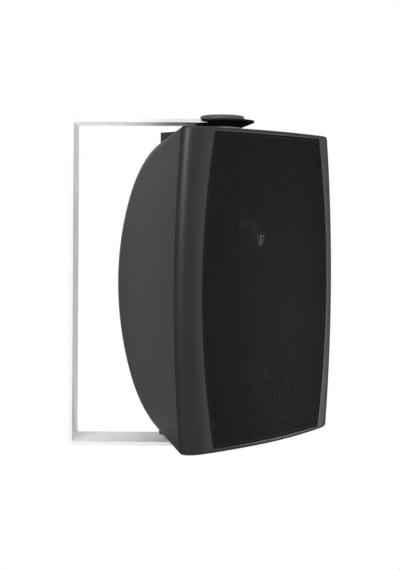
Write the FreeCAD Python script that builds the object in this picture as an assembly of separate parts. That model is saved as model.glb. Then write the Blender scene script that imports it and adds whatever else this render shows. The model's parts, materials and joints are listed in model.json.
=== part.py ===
"""A two-way wall loudspeaker that pans in a U-shaped steel wall bracket.

Units are millimetres. The wall is the plane y = 0, the bracket's arms reach along -Y and +Z is up.
The cabinet is drawn square in a frame of its own, with its front apex at y = 0 and its front facing -Y,
and place() then turns it about the pan axis to the angle at which it rests.
"""
import FreeCAD, Part
import math
import os
from FreeCAD import Vector

# Cabinet: outer form
HEIGHT = 250.0              # overall, flat top to flat bottom
WIDTH = 184.0               # at mid height, on the seam
WAIST_SAG = 7.0             # each side is this much narrower at the top and bottom
SEAM_DEPTH = 20.0           # front apex to the parting line
REAR_DEPTH = 121.0          # parting line to the rear apex
SIDE_TAPER = 20.0           # degrees that the side panels close in towards the back
TOP_RUN = 44.0              # straight run behind the seam before the back starts to bow
TOP_SLOPE = 12.0            # degrees that this run falls towards the back
SHOULDER_RADIUS = 84.0      # upper and lower arcs of the bow
REAR_EDGE_ROUND = 16.0      # rounding of the rear edges at mid height
SEAM_EDGE_ROUND = 2.5       # rounding of the same edges where they meet the seam
WALL = 3.0                  # moulded wall
SEAM_GAP = 0.8              # shadow gap between the two mouldings
SPIGOT_INSET = 1.4          # rear shell's locating lip, set in from the outside
SPIGOT_LENGTH = 2.0
SPIGOT_CLEARANCE = 0.15

# Cabinet: front frame and grille
FRONT_RADIUS = 400.0        # plan radius of the bowed front
ROLL_WIDTH = 16.0           # width of the rolled side of the frame
ROLL_FRONT_PULL = 9.0       # how far the roll keeps the slope of the front
ROLL_SIDE_PULL = 8.0        # how far the roll keeps the line of the side
GRILLE_HALF_WIDTH = 75.0    # opening for the grille at mid height
GRILLE_SAG = 13.0           # the opening is this much narrower at the top and bottom
GRILLE_MARGIN = 3.5         # frame left above and below the grille
GRILLE_CORNER = 3.0
GRILLE_RECESS = 0.4         # grille face below the frame's edge
GRILLE_SHEET = 0.7
GRILLE_CLEARANCE = 0.3
BAFFLE_THICKNESS = 4.0

# Pan axis, bracket and clamping stack
PIVOT_DEPTH = 59.5          # front apex to the pan axis
PAN_AT_REST = 45.0          # degrees the cabinet is turned away from straight ahead
REACH = 125.5               # wall to the pan axis
BRACKET_SHEET = 3.0
BRACKET_BEND = 1.5          # inside radius of the two folds
ARM_WIDTH = 40.0
SLOT_WIDTH = 6.0
SLOT_LENGTH = 12.0
SLOT_SPACING = 162.0
PLATFORM_HALF_WIDTH = 45.0  # flat seats for the pivots on the bowed shell
PLATFORM_LENGTH = 70.0
PLATFORM_CORNER = 5.0
BOSS_RADIUS = 17.0
BOSS_RISE = 3.0             # the upper seat has a raised boss, the lower one is flush
WASHER_RADIUS = 16.0
WASHER_THICKNESS = 2.0
PAD_FLOOR = 3.0
PAD_FOOT_RADIUS = 16.0
PAD_RIM_RADIUS = 27.0
PAD_CLEARANCE = 0.3
STUD_RADIUS = 3.0
STUD_CLEARANCE = 0.3
THREAD_CLEARANCE = 0.05
KNOB_RADIUS = 18.8
KNOB_HEIGHT = 5.0
KNOB_CROWN = 2.4            # rounding of the rim
KNOB_DOME = 0.9             # rise of the top inside the rim
STUD_SEAT = 3.2             # depth of the stud inside the knob
INSERT_RADIUS = 5.0
INSERT_LENGTH = 14.0
FIT = 0.03                  # clearance of pressed and glued round seats

# Woofer
WOOFER_HEIGHT = 40.0        # axis above mid height
WOOFER_FLANGE = 2.5
CUTOUT_CLEARANCE = 0.5      # baffle opening outside the surround's roll
HEAD_CLEARANCE = 0.8        # screw heads outside the gasket
FLANGE_RIM = 0.7            # flange outside the screw heads
BASKET_SHEET = 1.5
BASKET_NECK_RADIUS = 38.0
BASKET_DEPTH = 28.0         # baffle face to the spider ledge
BASKET_POT_RADIUS = 32.5
BASKET_POT_DEPTH = 6.0
BASKET_WINDOWS = 6
WINDOW_WIDTH = 26.0
CONE_RADIUS = 46.0
CONE_LIP = 4.0
CONE_SHEET = 0.9
CONE_NECK_DEPTH = 16.0
ROLL_RADIUS = 4.0           # half roll of the surround
SURROUND_SHEET = 0.5
SURROUND_FLANGE = 3.0       # glued rim outside the roll
GASKET_THICKNESS = 2.0
DUST_CAP_RADIUS = 20.0
DUST_CAP_RISE = 9.0
DUST_CAP_SHEET = 0.6
COIL_RADIUS = 12.5          # inside of the coil former
FORMER_SHEET = 0.3
WINDING = 0.35
COIL_GAP = 0.45             # running clearance on both sides of the coil
TOP_PLATE_RADIUS = 34.0
TOP_PLATE = 5.0
MAGNET_RADIUS = 40.0
MAGNET_BORE = 19.0
MAGNET_LENGTH = 14.0
YOKE_RADIUS = 36.0
YOKE_PLATE = 5.0

# Tweeter
TWEETER_HEIGHT = -72.0      # axis from mid height
FACEPLATE_RADIUS = 33.0
FACEPLATE_THICKNESS = 3.0
TWEETER_SPIGOT_RADIUS = 23.5
TWEETER_SPIGOT = 1.6
TWEETER_BOLT_RADIUS = 28.5
HORN_RADIUS = 24.0
DOME_RADIUS = 9.6
DOME_RISE = 3.8
DOME_SHEET = 0.4
DOME_ROLL = 1.1             # half roll round the dome
DOME_ROLL_SHEET = 0.3
DOME_FLANGE = 3.0           # clamped rim of the dome's roll
DOME_FLANGE_SHEET = 0.4
DOME_COIL = 0.35
DOME_COIL_LENGTH = 5.0
DOME_COIL_GAP = 0.4
HORN_CLEARANCE = 0.3        # throat outside the dome's roll
TWEETER_PLATE_RADIUS = 22.0
TWEETER_PLATE = 3.0
TWEETER_MAGNET_BORE = 14.0
TWEETER_MAGNET = 9.0
TWEETER_YOKE_PLATE = 3.0

# Screws
SCREW_RADIUS = 1.75
SCREW_HEAD_RADIUS = 3.0
SCREW_HEAD = 2.0
SCREW_LENGTH = 16.0
SHORT_SCREW_LENGTH = 8.0
SCREW_CLEARANCE = 0.25
SCREW_POST_RADIUS = 4.5
CORNER_SCREW_INSET = 22.0   # in from the grille opening's widest line
CORNER_SCREW_DROP = 13.0    # in from the flat top and bottom
SIDE_SCREW_INSET = 12.0
SIDE_SCREW_Z = -40.0

# Terminal cup and crossover
CUP_WIDTH = 52.0
CUP_HEIGHT = 34.0
CUP_FLANGE = 7.0
CUP_FLANGE_THICKNESS = 2.5
CUP_WALL = 1.8
CUP_DEPTH = 17.0
CUP_CORNER = 4.0
CUP_CLEARANCE = 0.25
LANDING_SINK = 5.0          # flat landing below the rear apex
LEVER_PITCH = 24.0
LEVER_WIDTH = 12.0
LEVER_LENGTH = 17.0
LEVER_THICKNESS = 3.0
LEVER_LIFT = 22.0           # degrees that a lever stands up at rest
TRUNNION_RADIUS = 1.25
TRUNNION_HEIGHT = 5.0       # trunnion axis above the cup's floor
TRUNNION_Z = 8.0
EAR_THICKNESS = 1.6
EAR_GAP = 0.4
WIRE_HOLE_RADIUS = 2.0
CONTACT_SHEET = 0.8
BOARD_WIDTH = 62.0
BOARD_HEIGHT = 46.0
BOARD_THICKNESS = 1.6
BOARD_POST_RADIUS = 3.0
BOARD_POST_LENGTH = 9.0
BOARD_POST_INSET = 5.0
COMPONENT_GAP = 1.0         # between neighbours on the board
INDUCTOR_RADIUS = 9.0
INDUCTOR_BORE = 4.0
INDUCTOR_LENGTH = 15.0
CAPACITOR_RADIUS = 5.5
CAPACITOR_LENGTH = 16.0
RESISTOR_SIZE = 6.0
RESISTOR_LENGTH = 22.0

# Worked out from the sizes above
HALF_HEIGHT = HEIGHT / 2
HALF_WIDTH = WIDTH / 2
WAIST_RADIUS = (HALF_HEIGHT ** 2 + WAIST_SAG ** 2) / (2 * WAIST_SAG)
GRILLE_ARC = (HALF_HEIGHT ** 2 + GRILLE_SAG ** 2) / (2 * GRILLE_SAG)
REAR_APEX = SEAM_DEPTH + REAR_DEPTH
BAFFLE_BACK = SEAM_DEPTH - SPIGOT_LENGTH
BAFFLE_DEPTH = BAFFLE_BACK - BAFFLE_THICKNESS
SURROUND_RADIUS = CONE_RADIUS + 2 * ROLL_RADIUS
WOOFER_CUTOUT_RADIUS = SURROUND_RADIUS + CUTOUT_CLEARANCE
WOOFER_BOLT_RADIUS = SURROUND_RADIUS + SURROUND_FLANGE + SCREW_HEAD_RADIUS + HEAD_CLEARANCE
WOOFER_FLANGE_RADIUS = WOOFER_BOLT_RADIUS + SCREW_HEAD_RADIUS + FLANGE_RIM
CORNER_SCREW_X = GRILLE_HALF_WIDTH - CORNER_SCREW_INSET
CORNER_SCREW_Z = HALF_HEIGHT - CORNER_SCREW_DROP
SIDE_SCREW_X = GRILLE_HALF_WIDTH - SIDE_SCREW_INSET
ARM_GAP = HEIGHT + BOSS_RISE + 2 * (WASHER_THICKNESS + PAD_FLOOR)
FAR = 400.0                 # longer than anything that is cut

ORIGIN = Vector(0, 0, 0)
X_AXIS = Vector(1, 0, 0)
Y_AXIS = Vector(0, 1, 0)
Z_AXIS = Vector(0, 0, 1)


def plan(x, y):
    return Vector(x, y, 0)


def side(y, z):
    return Vector(0, y, z)


def front(x, z):
    return Vector(x, 0, z)


def via(u, v):
    """Mark a point that an arc passes through between its two neighbours."""
    return ("via", u, v)


def outline(points, plane):
    """A closed face in a plane: corners joined by lines, or by arcs where via() stands between two corners."""
    edges = []
    count = len(points)
    for index, point in enumerate(points):
        if point[0] == "via":
            continue
        after = points[(index + 1) % count]
        start = plane(*point)
        if after[0] == "via":
            end = plane(*points[(index + 2) % count])
            edges.append(Part.Arc(start, plane(after[1], after[2]), end).toShape())
        else:
            edges.append(Part.LineSegment(start, plane(*after)).toShape())
    return Part.Face(Part.Wire(edges))


def turned(points, height=0.0):
    """A solid of revolution about the Y axis from (radius, depth) points, set at a height."""
    solid = outline(points, plan).revolve(ORIGIN, Y_AXIS, 360)
    solid.translate(Vector(0, 0, height))
    return solid


def rod(radius, x, z, start, end):
    """A round bar along Y."""
    return Part.makeCylinder(radius, end - start, Vector(x, start, z), Y_AXIS)


def ring_places(count, radius, height, first=0.0):
    """Points (x, z) evenly spaced on a circle about a driver's axis."""
    angles = [math.radians(first + 360.0 * index / count) for index in range(count)]
    return [(radius * math.cos(angle), height + radius * math.sin(angle)) for angle in angles]


def mirrored(solid):
    return solid.fuse(solid.mirror(ORIGIN, X_AXIS)).removeSplitter()


def upright_edges(solid, axis):
    """Straight edges of a solid that run along an axis."""
    found = []
    for edge in solid.Edges:
        if edge.Curve.TypeId == "Part::GeomLine":
            if edge.tangentAt(edge.FirstParameter).cross(axis).Length < 1e-6:
                found.append(edge)
    return found


def block(width, height, start, end, x=0.0, z=0.0):
    """A box centred on (x, z) that runs from one depth to another."""
    return Part.makeBox(width, end - start, height, Vector(x - width / 2, start, z - height / 2))


def rounded_block(width, height, start, end, corner, x=0.0, z=0.0):
    solid = block(width, height, start, end, x, z)
    return solid.makeFillet(corner, upright_edges(solid, Y_AXIS))


def place(solid):
    """Carry a piece from the cabinet's own frame to its place in the bracket at rest."""
    moved = solid.copy()
    moved.translate(Vector(0, -PIVOT_DEPTH, -BOSS_RISE / 2))
    moved.rotate(ORIGIN, Z_AXIS, -PAN_AT_REST)
    moved.translate(Vector(0, -REACH, 0))
    return moved


def save(name, *solids):
    shape = solids[0] if len(solids) == 1 else Part.makeCompound(list(solids))
    shape.exportStep("parts/" + name + ".step")


def save_cabinet(name, *solids):
    save(name, *[place(solid) for solid in solids])


# Cabinet forms
def waist_pair(face):
    """Swing a half plan about the far centre of the side's arc, keep the right half and mirror it."""
    centre = Vector(HALF_WIDTH - WAIST_RADIUS, 0, 0)
    swing = math.degrees(math.asin(HALF_HEIGHT / (WAIST_RADIUS - HALF_WIDTH))) + 0.5
    face.rotate(centre, Y_AXIS, -swing)
    half = face.revolve(centre, Y_AXIS, 2 * swing)
    keep = Part.makeBox(WIDTH, FAR, HEIGHT, Vector(0, -FAR / 2, -HALF_HEIGHT))
    return mirrored(half.common(keep))


def waist_prism(half_width, half_height, arc, start, end):
    """A prism along Y with flat ends above and below and an arc on each side."""
    edge = half_width - arc + math.sqrt(arc ** 2 - half_height ** 2)
    corners = [(edge, -half_height), via(half_width, 0), (edge, half_height),
               (-edge, half_height), via(-half_width, 0), (-edge, -half_height)]
    face = outline(corners, front)
    face.translate(Vector(0, start, 0))
    return face.extrude(Vector(0, end - start, 0))


def front_depth(x, setback):
    """Depth of the bowed front at a distance from the middle."""
    return setback + FRONT_RADIUS - math.sqrt(FRONT_RADIUS ** 2 - x ** 2)


def front_form(setback, back):
    """Everything between the bowed front, set back by a little, and a flat plane behind it."""
    reach = GRILLE_HALF_WIDTH + GRILLE_SHEET
    half = reach / 2
    corners = [(0, setback), via(half, front_depth(half, setback)), (reach, front_depth(reach, setback)), (reach, back),
               (0, back)]
    return waist_pair(outline(corners, plan))


def frame_form():
    """The front moulding's outside: the bowed front, rolled over at the sides to meet the seam squarely."""
    start = HALF_WIDTH - ROLL_WIDTH
    slope = math.asin(start / FRONT_RADIUS)
    first = plan(start, front_depth(start, 0))
    last = plan(HALF_WIDTH, SEAM_DEPTH)
    roll = Part.BezierCurve()
    roll.setPoles([first, first + Vector(math.cos(slope), math.sin(slope), 0) * ROLL_FRONT_PULL,
                   last - Y_AXIS * ROLL_SIDE_PULL, last])
    edges = [Part.Arc(plan(0, 0), plan(start / 2, front_depth(start / 2, 0)), first).toShape(), roll.toShape(),
             Part.LineSegment(last, plan(0, SEAM_DEPTH)).toShape(),
             Part.LineSegment(plan(0, SEAM_DEPTH), plan(0, 0)).toShape()]
    return waist_pair(Part.Face(Part.Wire(edges)))


def bow_outline(inset):
    """Side view of the rear shell: a falling run, a shoulder arc and one large rear arc, mirrored below."""
    slope = math.radians(TOP_SLOPE)
    seam = SEAM_DEPTH + SEAM_GAP
    shoulder = SHOULDER_RADIUS - inset
    centre_y = SEAM_DEPTH + TOP_RUN - SHOULDER_RADIUS * math.sin(slope)
    centre_z = HALF_HEIGHT - TOP_RUN * math.tan(slope) - SHOULDER_RADIUS * math.cos(slope)
    apex = REAR_APEX - inset
    run = apex - centre_y
    rear = (run ** 2 + centre_z ** 2 - shoulder ** 2) / (2 * (run - shoulder))
    meet = math.atan2(centre_z, centre_y - (apex - rear))
    tangent = (apex - rear + rear * math.cos(meet), rear * math.sin(meet))
    bend_start = (centre_y + shoulder * math.sin(slope), centre_z + shoulder * math.cos(slope))
    middle = (meet + math.pi / 2 - slope) / 2
    bend = (centre_y + shoulder * math.cos(middle), centre_z + shoulder * math.sin(middle))
    half_rear = (apex - rear + rear * math.cos(meet / 2), rear * math.sin(meet / 2))
    seam_z = bend_start[1] + (bend_start[0] - seam) * math.tan(slope)
    upper = [(seam, seam_z), bend_start, via(*bend), tangent, via(*half_rear), (apex, 0)]
    lower = [("via", point[1], -point[2]) if point[0] == "via" else (point[0], -point[1]) for point in upper]
    return outline(upper + lower[-2::-1], side)


def edge_round(depth, inset):
    """Radius of the rear edges, growing from the seam to mid height."""
    share = min(1.0, (depth - SEAM_DEPTH) / (REAR_DEPTH - REAR_EDGE_ROUND))
    grown = SEAM_EDGE_ROUND + (REAR_EDGE_ROUND - SEAM_EDGE_ROUND) * share
    return grown * (REAR_EDGE_ROUND - inset) / REAR_EDGE_ROUND


def rear_form(inset):
    """The rear shell's outside, or its inside when inset by the wall, with its rear edges rounded.

    Each chain of rear edges is rounded along its own direction, up or down, so the two radii of an edge are
    tried in both orders: the right order is the one that leaves the form even about its middle planes.
    """
    taper = math.tan(math.radians(SIDE_TAPER))
    wide = HALF_WIDTH - inset / math.cos(math.radians(SIDE_TAPER))
    start = SEAM_DEPTH + SEAM_GAP
    corners = [(0, start), (wide - SEAM_GAP * taper, start),
               (wide - REAR_DEPTH * taper, REAR_APEX), (0, REAR_APEX)]
    bow = bow_outline(inset).extrude(Vector(2 * WIDTH, 0, 0))
    bow.translate(Vector(-WIDTH, 0, 0))
    sharp = bow.common(waist_pair(outline(corners, plan))).removeSplitter()
    best = None
    for left_order in (1, -1):
        for right_order in (1, -1):
            form = round_rear_edges(sharp, inset, left_order, right_order)
            middle = form.Solids[0].CenterOfMass
            uneven = abs(middle.x) + abs(middle.z)
            if best is None or uneven < best[0]:
                best = (uneven, form)
    return best[1]


def round_rear_edges(sharp, inset, left_order, right_order):
    start = SEAM_DEPTH + SEAM_GAP
    document = FreeCAD.newDocument()
    base = document.addObject("Part::Feature", "sharp")
    base.Shape = sharp
    rounded = document.addObject("Part::Fillet", "rounded")
    rounded.Base = base
    rows = []
    for number, edge in enumerate(sharp.Edges, 1):
        ends = [vertex.Point for vertex in edge.Vertexes]
        on_seam = all(abs(end.y - start) < 1e-6 for end in ends)
        if abs(edge.CenterOfMass.x) > PLATFORM_HALF_WIDTH / 2 and not on_seam:
            radii = sorted(edge_round(end.y, inset) for end in ends)
            order = right_order if edge.CenterOfMass.x > 0 else left_order
            growing = edge.CenterOfMass.z * order > 0
            rows.append((number, radii[0], radii[-1]) if growing else (number, radii[-1], radii[0]))
    rounded.Edges = rows
    document.recompute()
    form = rounded.Shape.copy()
    FreeCAD.closeDocument(document.Name)
    return form


def platform(inset, level):
    """A flat pivot seat that stands out of the bow, above (+1) or below (-1)."""
    half = PLATFORM_HALF_WIDTH - inset
    start = SEAM_DEPTH + SEAM_GAP
    end = SEAM_DEPTH + PLATFORM_LENGTH - inset
    top = HALF_HEIGHT - inset
    foot = HALF_HEIGHT - SHOULDER_RADIUS / 2
    solid = Part.makeBox(2 * half, end - start, top - foot, Vector(-half, start, foot))
    corners = [edge for edge in upright_edges(solid, Z_AXIS) if edge.CenterOfMass.y > start + 1]
    solid = solid.makeFillet(PLATFORM_CORNER - inset, corners)
    if level < 0:
        solid = solid.mirror(ORIGIN, Z_AXIS)
    return solid


def pivot_rod(radius, low, high, level):
    """A round bar on the pan axis between two heights, measured outwards from mid height."""
    base = low if level > 0 else -high
    return Part.makeCylinder(radius, high - low, Vector(0, PIVOT_DEPTH, base), Z_AXIS)


SCREW_PLACES = [(sign * CORNER_SCREW_X, level * CORNER_SCREW_Z) for sign in (-1, 1) for level in (-1, 1)]
SCREW_PLACES += [(sign * SIDE_SCREW_X, SIDE_SCREW_Z) for sign in (-1, 1)]
LANDING = REAR_APEX - LANDING_SINK
CUP_FLOOR = LANDING - CUP_DEPTH
WOOFER_SCREWS = ring_places(4, WOOFER_BOLT_RADIUS, WOOFER_HEIGHT, 45.0)
TWEETER_SCREWS = ring_places(4, TWEETER_BOLT_RADIUS, TWEETER_HEIGHT, 45.0)
CUP_SCREWS = [(sign * (CUP_WIDTH + CUP_FLANGE) / 2, level * (CUP_HEIGHT + CUP_FLANGE) / 2)
              for sign in (-1, 1) for level in (-1, 1)]


def rear_shell():
    """One moulding: bowed wall, pivot seats, screw posts, terminal landing and locating lip."""
    outside = rear_form(0)
    outer = outside
    inner = rear_form(WALL)
    for level in (1, -1):
        outer = outer.fuse(platform(0, level))
        inner = inner.fuse(platform(WALL, level))
    shell = outer.cut(inner)
    for x, z in SCREW_PLACES:
        shell = shell.fuse(rod(SCREW_POST_RADIUS, x, z, BAFFLE_BACK, REAR_APEX).common(
            outside.fuse(rod(SCREW_POST_RADIUS, x, z, BAFFLE_BACK, SEAM_DEPTH + SEAM_GAP))))
    for level, rise in ((1, BOSS_RISE), (-1, 0)):
        shell = shell.fuse(pivot_rod(INSERT_RADIUS + WALL, HALF_HEIGHT - INSERT_LENGTH - WALL, HALF_HEIGHT, level))
        if rise:
            shell = shell.fuse(pivot_rod(BOSS_RADIUS, HALF_HEIGHT, HALF_HEIGHT + rise, level))
        top = HALF_HEIGHT + rise
        shell = shell.cut(pivot_rod(INSERT_RADIUS + FIT, top - INSERT_LENGTH, top, level))
    pad_width = CUP_WIDTH + 2 * CUP_FLANGE + 2 * WALL
    pad_height = CUP_HEIGHT + 2 * CUP_FLANGE + 2 * WALL
    shell = shell.fuse(block(pad_width, pad_height, LANDING - WALL, REAR_APEX).common(outside))
    flange = 2 * CUP_FLANGE + 2 * CUP_CLEARANCE
    shell = shell.cut(rounded_block(CUP_WIDTH + flange, CUP_HEIGHT + flange, LANDING, REAR_APEX + WALL, CUP_CORNER))
    opening = 2 * CUP_CLEARANCE
    shell = shell.cut(rounded_block(CUP_WIDTH + opening, CUP_HEIGHT + opening, 0.5 * REAR_APEX, FAR, CUP_CORNER))
    lip = waist_prism(HALF_WIDTH - SPIGOT_INSET, HALF_HEIGHT - SPIGOT_INSET, WAIST_RADIUS,
                      SEAM_DEPTH - SPIGOT_LENGTH, SEAM_DEPTH + SEAM_GAP + WALL)
    lip = lip.cut(waist_prism(HALF_WIDTH - WALL - SPIGOT_INSET, HALF_HEIGHT - WALL, WAIST_RADIUS,
                              SEAM_DEPTH - SPIGOT_LENGTH, SEAM_DEPTH + SEAM_GAP + WALL))
    behind = block(2 * WIDTH, 2 * HEIGHT, SEAM_DEPTH + SEAM_GAP, FAR)
    shell = shell.fuse(lip.cut(behind).fuse(lip.common(outside)))
    for x, z in SCREW_PLACES:
        shell = shell.cut(rod(SCREW_RADIUS + THREAD_CLEARANCE, x, z, 0, BAFFLE_DEPTH + SCREW_LENGTH + 1))
    for x, z in CUP_SCREWS:
        shell = shell.cut(rod(SCREW_RADIUS + THREAD_CLEARANCE, x, z, LANDING - WALL - 1, LANDING + 1))
    return shell


def front_baffle():
    """One moulding: rolled frame, grille recess and the baffle that carries the drivers."""
    frame = frame_form()
    rims = [edge for edge in frame.Edges
            if abs(abs(edge.CenterOfMass.z) - HALF_HEIGHT) < 0.01 and edge.CenterOfMass.y < SEAM_DEPTH - 1
            and edge.Curve.TypeId != "Part::GeomLine"]
    frame = frame.makeFillet(SEAM_EDGE_ROUND, rims)
    recess = waist_prism(GRILLE_HALF_WIDTH, HALF_HEIGHT - GRILLE_MARGIN, GRILLE_ARC, -FAR / 2, BAFFLE_DEPTH)
    frame = frame.cut(recess.makeFillet(GRILLE_CORNER, upright_edges(recess, Y_AXIS)))
    inset = SPIGOT_INSET - SPIGOT_CLEARANCE
    frame = frame.cut(waist_prism(HALF_WIDTH - inset, HALF_HEIGHT - inset, WAIST_RADIUS,
                                  SEAM_DEPTH - SPIGOT_LENGTH, FAR))
    frame = frame.cut(rod(WOOFER_CUTOUT_RADIUS, 0, WOOFER_HEIGHT, 0, FAR))
    frame = frame.cut(rod(TWEETER_SPIGOT_RADIUS + FIT, 0, TWEETER_HEIGHT, 0, FAR))
    for x, z in SCREW_PLACES:
        frame = frame.cut(rod(SCREW_RADIUS + SCREW_CLEARANCE, x, z, 0, FAR))
    for x, z in WOOFER_SCREWS + TWEETER_SCREWS:
        frame = frame.cut(rod(SCREW_RADIUS + THREAD_CLEARANCE, x, z, 0, FAR))
    return frame


def grille():
    """Pressed steel tray that drops into the frame: bowed sheet with its edge turned back to the baffle."""
    half_width = GRILLE_HALF_WIDTH - GRILLE_CLEARANCE
    half_height = HALF_HEIGHT - GRILLE_MARGIN - GRILLE_CLEARANCE
    outer = waist_prism(half_width, half_height, GRILLE_ARC, -FAR / 2, BAFFLE_DEPTH)
    outer = outer.makeFillet(GRILLE_CORNER - GRILLE_CLEARANCE, upright_edges(outer, Y_AXIS))
    inner = waist_prism(half_width - GRILLE_SHEET, half_height - GRILLE_SHEET, GRILLE_ARC, -FAR / 2, FAR)
    inner = inner.makeFillet(GRILLE_CORNER - GRILLE_CLEARANCE - GRILLE_SHEET, upright_edges(inner, Y_AXIS))
    tray = front_form(GRILLE_RECESS, BAFFLE_DEPTH).common(outer)
    return tray.cut(front_form(GRILLE_RECESS + GRILLE_SHEET, BAFFLE_DEPTH + 1).common(inner))


def screw(x, z, seat, length, direction=1):
    """A pan-head screw whose head sits on a face at a depth; the shank runs on along the direction."""
    top = seat - direction * SCREW_HEAD
    edge = seat - direction * SCREW_HEAD / 2
    tip = seat + direction * length
    solid = turned([(0, top), (SCREW_HEAD_RADIUS - SCREW_HEAD / 2, top), (SCREW_HEAD_RADIUS, edge),
                    (SCREW_HEAD_RADIUS, seat), (SCREW_RADIUS, seat), (SCREW_RADIUS, tip), (0, tip)], z)
    solid.translate(Vector(x, 0, 0))
    return solid


# Woofer
FLANGE_FACE = BAFFLE_DEPTH - WOOFER_FLANGE
SPIDER_LEDGE = BAFFLE_DEPTH + BASKET_DEPTH
POT_BACK = SPIDER_LEDGE + BASKET_POT_DEPTH
COIL_BORE = COIL_RADIUS + FORMER_SHEET + WINDING + COIL_GAP
NECK_RADIUS = COIL_RADIUS + FORMER_SHEET + FIT
NECK_DEPTH = FLANGE_FACE + CONE_NECK_DEPTH
CONE_SLOPE = CONE_NECK_DEPTH / (CONE_RADIUS - CONE_LIP - NECK_RADIUS)
MAGNET_FRONT = POT_BACK + TOP_PLATE
MAGNET_BACK = MAGNET_FRONT + MAGNET_LENGTH


def woofer_basket():
    """Pressed chassis: flange, windowed cone wall, spider ledge and pot."""
    mouth = WOOFER_CUTOUT_RADIUS - 2 * SCREW_CLEARANCE
    lean = math.atan2(mouth - BASKET_NECK_RADIUS, BASKET_DEPTH)
    slant = BASKET_SHEET / math.cos(lean)
    floor = POT_BACK - BASKET_SHEET
    ledge = SPIDER_LEDGE - BASKET_SHEET
    inner_neck = BASKET_NECK_RADIUS - slant + BASKET_SHEET * math.tan(lean)
    inner_mouth = mouth - slant
    basket = turned([(WOOFER_FLANGE_RADIUS, FLANGE_FACE), (WOOFER_FLANGE_RADIUS, BAFFLE_DEPTH), (mouth, BAFFLE_DEPTH),
                     (BASKET_NECK_RADIUS, SPIDER_LEDGE), (BASKET_POT_RADIUS, SPIDER_LEDGE),
                     (BASKET_POT_RADIUS, POT_BACK), (COIL_BORE, POT_BACK), (COIL_BORE, floor),
                     (BASKET_POT_RADIUS - BASKET_SHEET, floor), (BASKET_POT_RADIUS - BASKET_SHEET, ledge),
                     (inner_neck, ledge), (inner_mouth, BAFFLE_DEPTH), (inner_mouth, FLANGE_FACE)], WOOFER_HEIGHT)
    rim = 3 * BASKET_SHEET
    start = BAFFLE_DEPTH + rim
    window = Part.makeBox(WOOFER_FLANGE_RADIUS - BASKET_POT_RADIUS - rim, BASKET_DEPTH - 2 * rim, WINDOW_WIDTH,
                          Vector(BASKET_POT_RADIUS + rim, start, WOOFER_HEIGHT - WINDOW_WIDTH / 2))
    axis = Vector(0, 0, WOOFER_HEIGHT)
    for index in range(BASKET_WINDOWS):
        cutter = window.copy()
        cutter.rotate(axis, Y_AXIS, 360.0 * index / BASKET_WINDOWS)
        basket = basket.cut(cutter)
    for x, z in WOOFER_SCREWS:
        basket = basket.cut(rod(SCREW_RADIUS + SCREW_CLEARANCE, x, z, 0, BAFFLE_DEPTH))
    return basket


def woofer_surround():
    """Rubber half roll with a glued rim on each side."""
    middle = CONE_RADIUS + ROLL_RADIUS
    outer = middle + ROLL_RADIUS
    front_face = FLANGE_FACE - SURROUND_SHEET
    inside = ROLL_RADIUS - SURROUND_SHEET
    return turned([(outer + SURROUND_FLANGE, FLANGE_FACE), (outer + SURROUND_FLANGE, front_face), (outer, front_face),
                   via(middle, front_face - ROLL_RADIUS), (CONE_RADIUS, front_face),
                   (CONE_RADIUS - CONE_LIP, front_face), (CONE_RADIUS - CONE_LIP, FLANGE_FACE),
                   (middle - inside, FLANGE_FACE), (middle - inside, front_face), via(middle, front_face - inside),
                   (middle + inside, front_face), (middle + inside, FLANGE_FACE)], WOOFER_HEIGHT)


def woofer_gasket():
    outer = SURROUND_RADIUS + SURROUND_FLANGE
    inner = outer - SURROUND_FLANGE + SURROUND_SHEET
    back = FLANGE_FACE - SURROUND_SHEET
    front_face = back - GASKET_THICKNESS
    return turned([(outer, back), (outer, front_face), (inner, front_face), (inner, back)], WOOFER_HEIGHT)


def woofer_cone():
    """Straight paper cone with a lip for the surround and a collar on the coil former."""
    root = CONE_RADIUS - CONE_LIP
    lean = math.atan(CONE_SLOPE)
    along = CONE_SHEET / math.sin(lean)
    collar = NECK_DEPTH + 2 * CONE_SHEET
    lip_back = FLANGE_FACE + CONE_SHEET
    back_root = root + along - CONE_SHEET / CONE_SLOPE
    return turned([(CONE_RADIUS, FLANGE_FACE), (root, FLANGE_FACE), (NECK_RADIUS, NECK_DEPTH), (NECK_RADIUS, collar),
                   (NECK_RADIUS + CONE_SHEET, collar),
                   (NECK_RADIUS + CONE_SHEET, NECK_DEPTH + (along - CONE_SHEET) * CONE_SLOPE),
                   (back_root, lip_back), (CONE_RADIUS, lip_back)], WOOFER_HEIGHT)


def cap_points(radius, base, rise, sheet):
    """Section of a thin spherical cap that bulges forward from its base."""
    sphere = (radius ** 2 + rise ** 2) / (2 * rise)
    centre = base - rise + sphere
    inner = sphere - sheet
    half = math.asin(radius / sphere) / 2
    inner_radius = math.sqrt(inner ** 2 - (centre - base) ** 2)
    inner_half = math.asin(inner_radius / inner) / 2
    return [(radius, base), via(sphere * math.sin(half), centre - sphere * math.cos(half)), (0, base - rise),
            (0, base - rise + sheet), via(inner * math.sin(inner_half), centre - inner * math.cos(inner_half)),
            (inner_radius, base)]


def woofer_dust_cap():
    base = NECK_DEPTH - (DUST_CAP_RADIUS - NECK_RADIUS) * CONE_SLOPE - FIT
    return turned(cap_points(DUST_CAP_RADIUS, base, DUST_CAP_RISE, DUST_CAP_SHEET), WOOFER_HEIGHT)


def woofer_voice_coil():
    """Coil former with its winding centred in the magnetic gap."""
    outer = COIL_RADIUS + FORMER_SHEET
    wound = outer + WINDING
    start = POT_BACK - TOP_PLATE / 2
    end = MAGNET_FRONT + TOP_PLATE / 2
    return turned([(COIL_RADIUS, NECK_DEPTH), (outer, NECK_DEPTH), (outer, start), (wound, start), (wound, end),
                   (COIL_RADIUS, end)], WOOFER_HEIGHT)


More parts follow.
